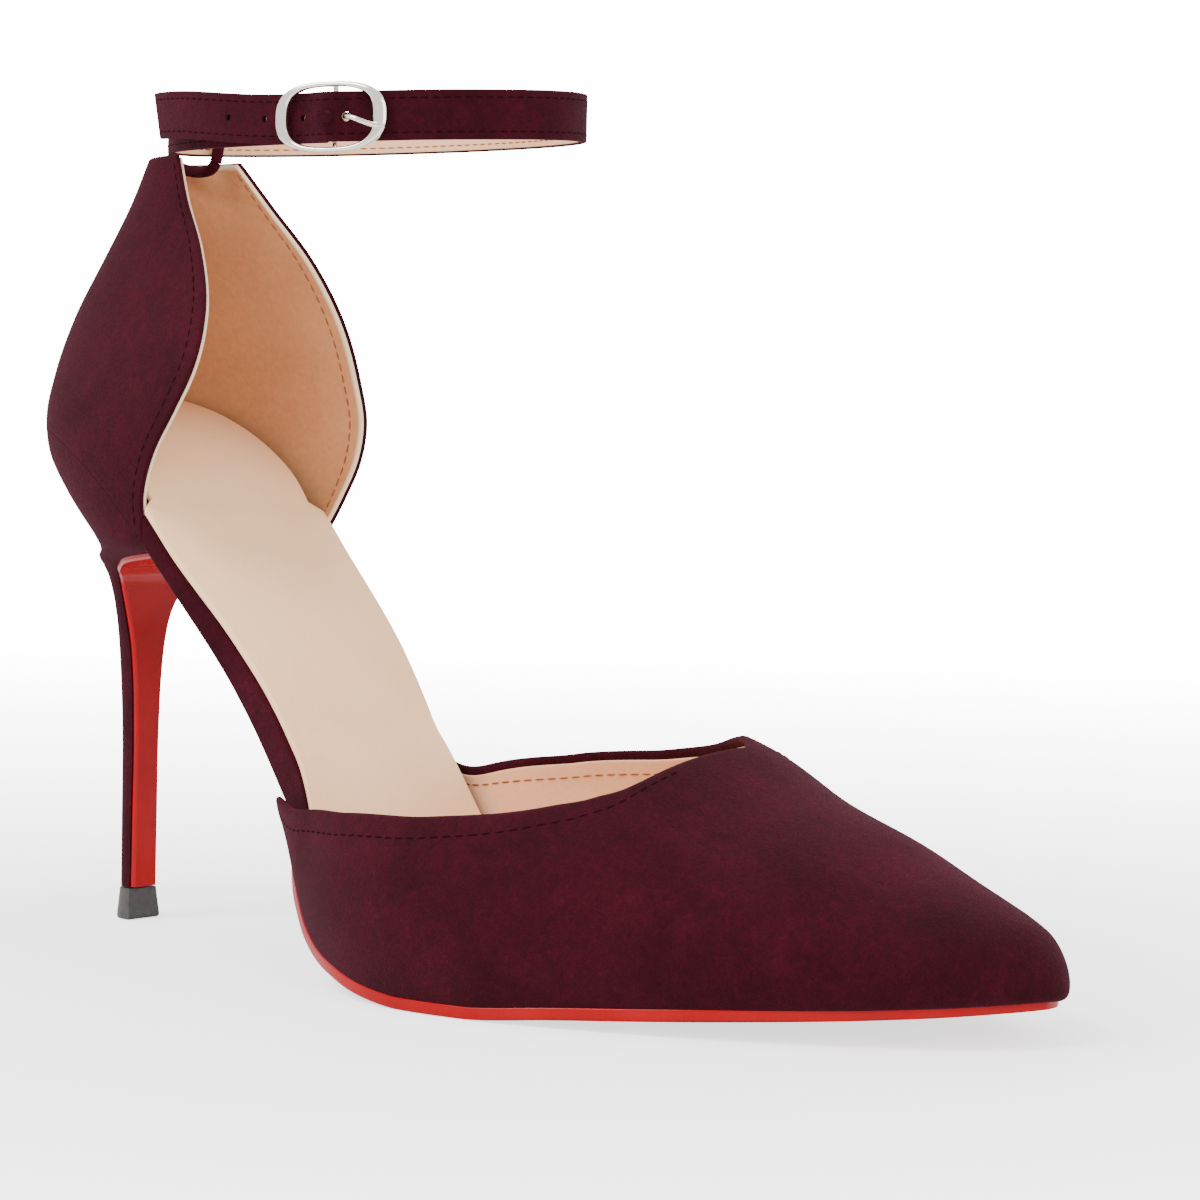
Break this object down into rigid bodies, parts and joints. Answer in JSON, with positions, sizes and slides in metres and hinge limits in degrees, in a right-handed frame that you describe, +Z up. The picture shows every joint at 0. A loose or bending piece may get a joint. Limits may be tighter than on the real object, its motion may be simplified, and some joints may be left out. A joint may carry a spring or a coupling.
{
  "type": "ankle strap pump",
  "caption": "Pointed-toe stiletto pump with an open waist, closed heel quarter, buckled ankle strap and a red sole; a right shoe in burgundy suede.",
  "frame": {"origin": "middle of the shoe's own box, on the floor it stands on", "axes": "+X towards the toe, +Y towards the inner side of the foot, +Z up"},
  "size_m": [0.2218, 0.0854, 0.1597],
  "materials": {
    "burgundy_suede": "napped suede, matt with a soft sheen",
    "red_sole": "plain glossy red, with no mark",
    "peach_lining": "smooth satin lining leather",
    "tip_plastic": "satin, fine scuffs",
    "buckle_metal": "polished pale nickel"
  },
  "bodies": {
    "root": {"outsole": "red_sole", "heel_tip": "tip_plastic", "heel": "burgundy_suede", "heel_breast_cover": "red_sole", "insole_board": "burgundy_suede", "insole_sock": "peach_lining", "vamp": "burgundy_suede", "counter": "burgundy_suede", "counter_loop": "burgundy_suede", "ankle_strap": "burgundy_suede", "strap_fold": "burgundy_suede", "buckle_frame": "buckle_metal", "buckle_prong": "buckle_metal"}
  },
  "joints": []
}
